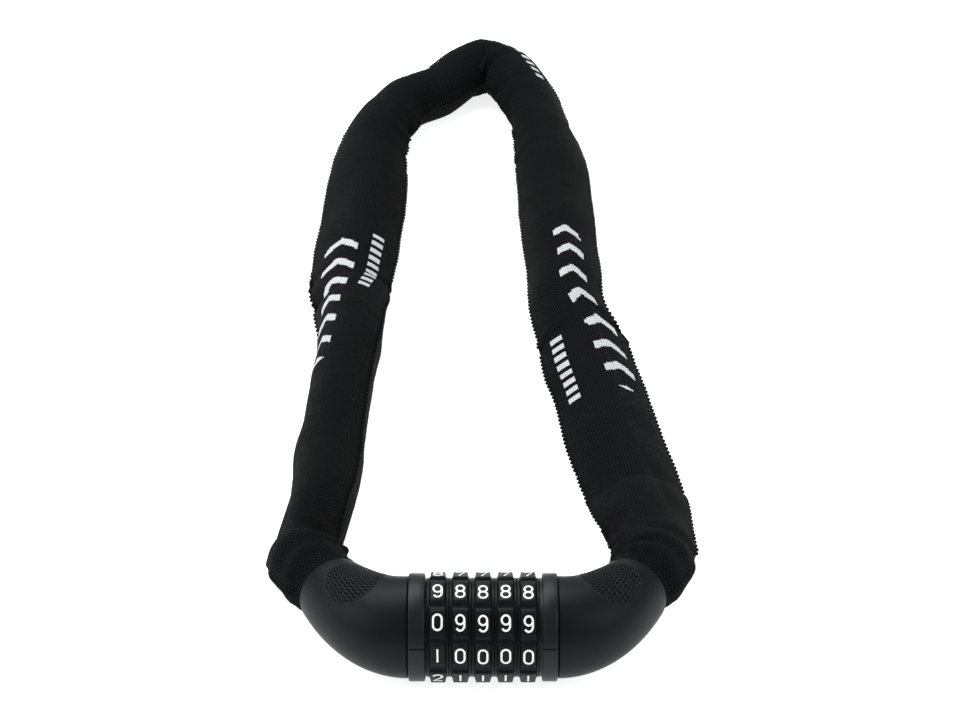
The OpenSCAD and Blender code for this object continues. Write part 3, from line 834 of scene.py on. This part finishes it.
def dial_mesh(name, x0, play):
    side_x = (dial_width - pad_width) / 2
    left = [(0, code_ring_radius + 0.00005), (0, neck_radius - 0.00015), (0.00012, neck_radius),
            (side_x - 0.00022, neck_radius + 0.00002), (side_x - 0.00008, neck_radius + 0.0002),
            (side_x + 0.00012, pad_height - 0.00022), (side_x + 0.00022, pad_height - 0.00008),
            (side_x + 0.0004, pad_height)]
    profile = left + [(dial_width - x, r) for x, r in reversed(left)]
    profile = [(x0 + x, r) for x, r in profile]

    def depth(x, radius, angle):
        off = abs(off_pad(angle - play))
        pad_edge, edge_at, edge_width = (math.radians(d) for d in (12.2, 13.4, 1.6))
        edge_rounding = 0.00016
        flat = pad_height * (1 / math.cos(min(off, pad_edge)) - 1) * pad_flatness
        raised = radius > neck_radius + 0.0001
        cut_angle = math.radians(180 / DIGITS) - off
        reach = notch_centre * math.sin(cut_angle)
        half_chord = math.sqrt(max(notch_radius ** 2 - reach ** 2, 0))
        floor = notch_centre * math.cos(cut_angle) - half_chord
        standing = radius + np.where(raised, flat, 0)
        notched = np.minimum(standing, floor) if reach < notch_radius else standing
        rounding = edge_rounding * math.exp(-((off - edge_at) / edge_width) ** 2)
        notched = np.where(raised, notched - rounding, notched)
        return radius - np.where(radius > code_ring_radius + 0.001, notched, radius)

    made = turned(name, profile, np.linspace(0, 2 * math.pi, 360, endpoint=False), depth)
    face_outwards(made)
    return made


moulded = Finish("dial_black", specular_ior_level=0.10)
wear = moulded.cloud(moulded.place(), 420.0)
skin = moulded.cloud(moulded.place(), 4200.0, 2.0)
moulded.set({"Base Color": moulded.mix(wear, (0.0028, 0.0036, 0.0042), (0.0046, 0.0058, 0.0066)),
             "Roughness": wear * 0.16 + 0.30, "Normal": moulded.bump(skin, 0.00003, 0.5)})


def arc(cx, cy, rx, ry, start, end):
    """Points along an ellipse's arc between two angles in degrees."""
    steps = 18
    turns = [math.radians(start + (end - start) * k / steps) for k in range(steps + 1)]
    return [(cx + rx * math.cos(turn), cy + ry * math.sin(turn)) for turn in turns]


# Each digit's strokes, in millimetres about its middle.
nine = [arc(0, 0.8, 1.1, 1.2, 0, 360), [(1.1, 0.8)] + arc(0, -0.7, 1.1, 1.3, 0, -148)]
STROKES = [
    [arc(0, 0.85, 1.15, 1.15, 0, 180) + arc(0, -0.85, 1.15, 1.15, 180, 360) + [(1.15, 0.85)]],
    [[(0, -1.95), (0, 1.95)]],
    [arc(0, 0.85, 1.15, 1.15, 165, -35) + [(-1.15, -2), (1.2, -2)]],
    [arc(0, 1.0, 1.05, 1.0, 150, -90), arc(0, -0.95, 1.2, 1.05, 90, -150)],
    [[(0.5, -2), (0.5, 2), (-1.2, -0.8), (1.2, -0.8)]],
    [[(1, 2), (-0.9, 2), (-1, 0.3)] + arc(0, -0.75, 1.2, 1.25, 128, -150)],
    [[(-x, -y) for x, y in stroke] for stroke in nine],
    [[(-1.15, 2), (1.15, 2), (-0.4, -2)]],
    [arc(0, 1.0, 1.05, 1.0, 0, 360), arc(0, -0.95, 1.15, 1.05, 0, 360)],
    nine]
stroke_radius, digit_sink, digit_flatness = 0.00029, 0.00003, 0.3

digit_tree, digit_in = geometry_tree("digit_strokes", {"Stroke radius": "NodeSocketFloat"})
digit_line = digit_tree.node("GeometryNodeMeshToCurve", {"Mesh": digit_in["Geometry"]})
round_stroke = digit_tree.node("GeometryNodeCurvePrimitiveCircle",
                               {"Resolution": 8, "Radius": digit_in["Stroke radius"]})
digit_tube = digit_tree.node("GeometryNodeCurveToMesh", {
    "Curve": digit_line, "Profile Curve": round_stroke, "Fill Caps": True})
digit_smooth = digit_tree.node("GeometryNodeSetShadeSmooth", {"Geometry": digit_tube})
paint = Finish("digit_white", roughness=0.5)
grit = paint.cloud(paint.place(), 2400.0)
paint.set({"Base Color": paint.mix(grit, (0.74, 0.76, 0.76), (0.88, 0.90, 0.90))})
finish_geometry(digit_tree, digit_smooth, paint.material)


def digits_mesh(name, x0, first, play):
    """All ten digits of one dial, laid flat in a strip, made solid, then wrapped round the pads."""
    strip_step = 0.010
    narrowing, lowering = 0.93, 0.95
    lines = [[(x * MM * narrowing, y * MM * lowering + digit * strip_step, 0) for x, y in stroke]
             for digit, strokes in enumerate(STROKES) for stroke in strokes]
    made = grow(name, line_object(name + "_lines", lines), digit_tree,
                {"Stroke radius": stroke_radius})
    for point in made.data.vertices:
        across, up, height = point.co
        digit = round(up / strip_step)
        arc_up = (up - digit * strip_step) / pad_height
        angle = read_angle + play + math.radians(360 / DIGITS) * ((first - digit) % DIGITS) + arc_up
        off = off_pad(angle - play)
        surface = pad_height * (1 + pad_flatness * (1 / math.cos(off) - 1))
        radius = surface - digit_sink + height * digit_flatness
        point.co = (x0 + dial_width / 2 + across, AXLE[1] - radius * math.cos(angle),
                    AXLE[2] + radius * math.sin(angle))
    face_outwards(made)
    return made


for number, (first, play) in enumerate(zip(read_digits, dial_play), 1):
    x0 = -stack_half + (number - 1) * dial_pitch + (dial_pitch - dial_width) / 2
    dial = dial_mesh(f"dial_{number}_ring", x0, play)
    dial.data.materials.append(moulded.material)
    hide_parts(f"dial_{number}")
    digits = digits_mesh(f"dial_{number}_digits", x0, first, play)
    for piece in (dial, digits):
        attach(piece, f"dial_ring_{number}")


# ---- Mechanism ----
# A slotted steel tube, the bolt with its lugs, washers and pins, all turned or stamped and bright.
# The code rings and the two end blocks are zinc castings. The tube's and the bolt's ends show
# when the bolt is drawn.

turned_steel = Finish("turned_steel", base_color=(0.55, 0.56, 0.57), metallic=1.0)
lathe = turned_steel.cloud(turned_steel.stretched((9000.0, 180.0, 180.0)), 1.0)
turned_steel.set({"Roughness": lathe * 0.22 + 0.22,
                  "Normal": turned_steel.bump(lathe, 0.00003, 0.6)})
stamped_steel = Finish("stamped_steel", base_color=(0.66, 0.66, 0.65), metallic=1.0)
brushed = stamped_steel.cloud(stamped_steel.stretched((400.0, 5200.0, 400.0)), 1.0)
stamped_steel.set({"Roughness": brushed * 0.25 + 0.2,
                   "Normal": stamped_steel.bump(brushed, 0.00002, 0.6)})
zinc = Finish("cast_zinc", metallic=1.0)
casting = zinc.cloud(zinc.place(), 1500.0)
stain = zinc.cloud(zinc.place(), 240.0)
zinc.set({"Base Color": zinc.mix(stain, (0.36, 0.37, 0.38), (0.48, 0.49, 0.50)),
          "Roughness": stain * 0.2 + 0.4, "Normal": zinc.bump(casting, 0.0001, 0.7)})
METAL_OF = {
    turned_steel: ["barrel_tube", "bolt", "barrel_chain_pin", "bolt_chain_pin", "barrel_set_screw",
                   "bolt_set_screw"],
    stamped_steel: ["thrust_washer", "spring_washer", "stack_washer", "retaining_ring",
                    "barrel_ferrule", "bolt_ferrule"],
    zinc: ["barrel_end_block", "bolt_end_block"] + [f"code_ring_{n}" for n in range(1, 6)]}
for metal, names in METAL_OF.items():
    for name in names:
        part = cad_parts[name]
        if not part.material_slots:
            part.data.materials.append(None)
        for slot in part.material_slots:
            slot.material = metal.material
